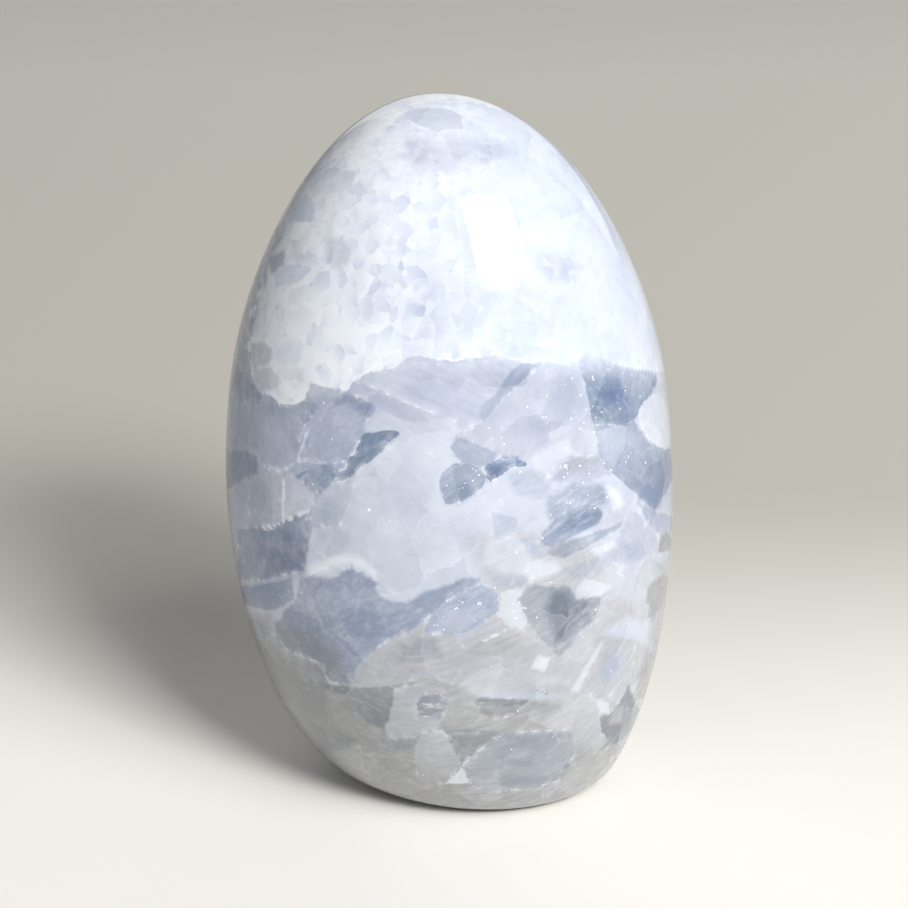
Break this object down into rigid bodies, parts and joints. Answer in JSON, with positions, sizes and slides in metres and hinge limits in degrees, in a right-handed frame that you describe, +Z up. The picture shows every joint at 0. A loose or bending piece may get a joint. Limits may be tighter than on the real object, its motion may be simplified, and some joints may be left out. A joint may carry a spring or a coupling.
{
  "type": "polished calcite freeform",
  "caption": "Egg-shaped polished stone of pale blue-grey calcite, ground flat underneath so that it stands upright as a display or collection piece.",
  "frame": {"origin": "under the middle of the stone's box, on the surface that it stands on", "axes": "+Z up along the stone's length, +X to the right of the side shown in the picture, -Y towards the viewer of that side"},
  "size_m": [0.0756, 0.0672, 0.1199],
  "materials": {
    "polished_calcite": null
  },
  "bodies": {
    "root": {"calcite_freeform": "polished_calcite"}
  },
  "joints": []
}
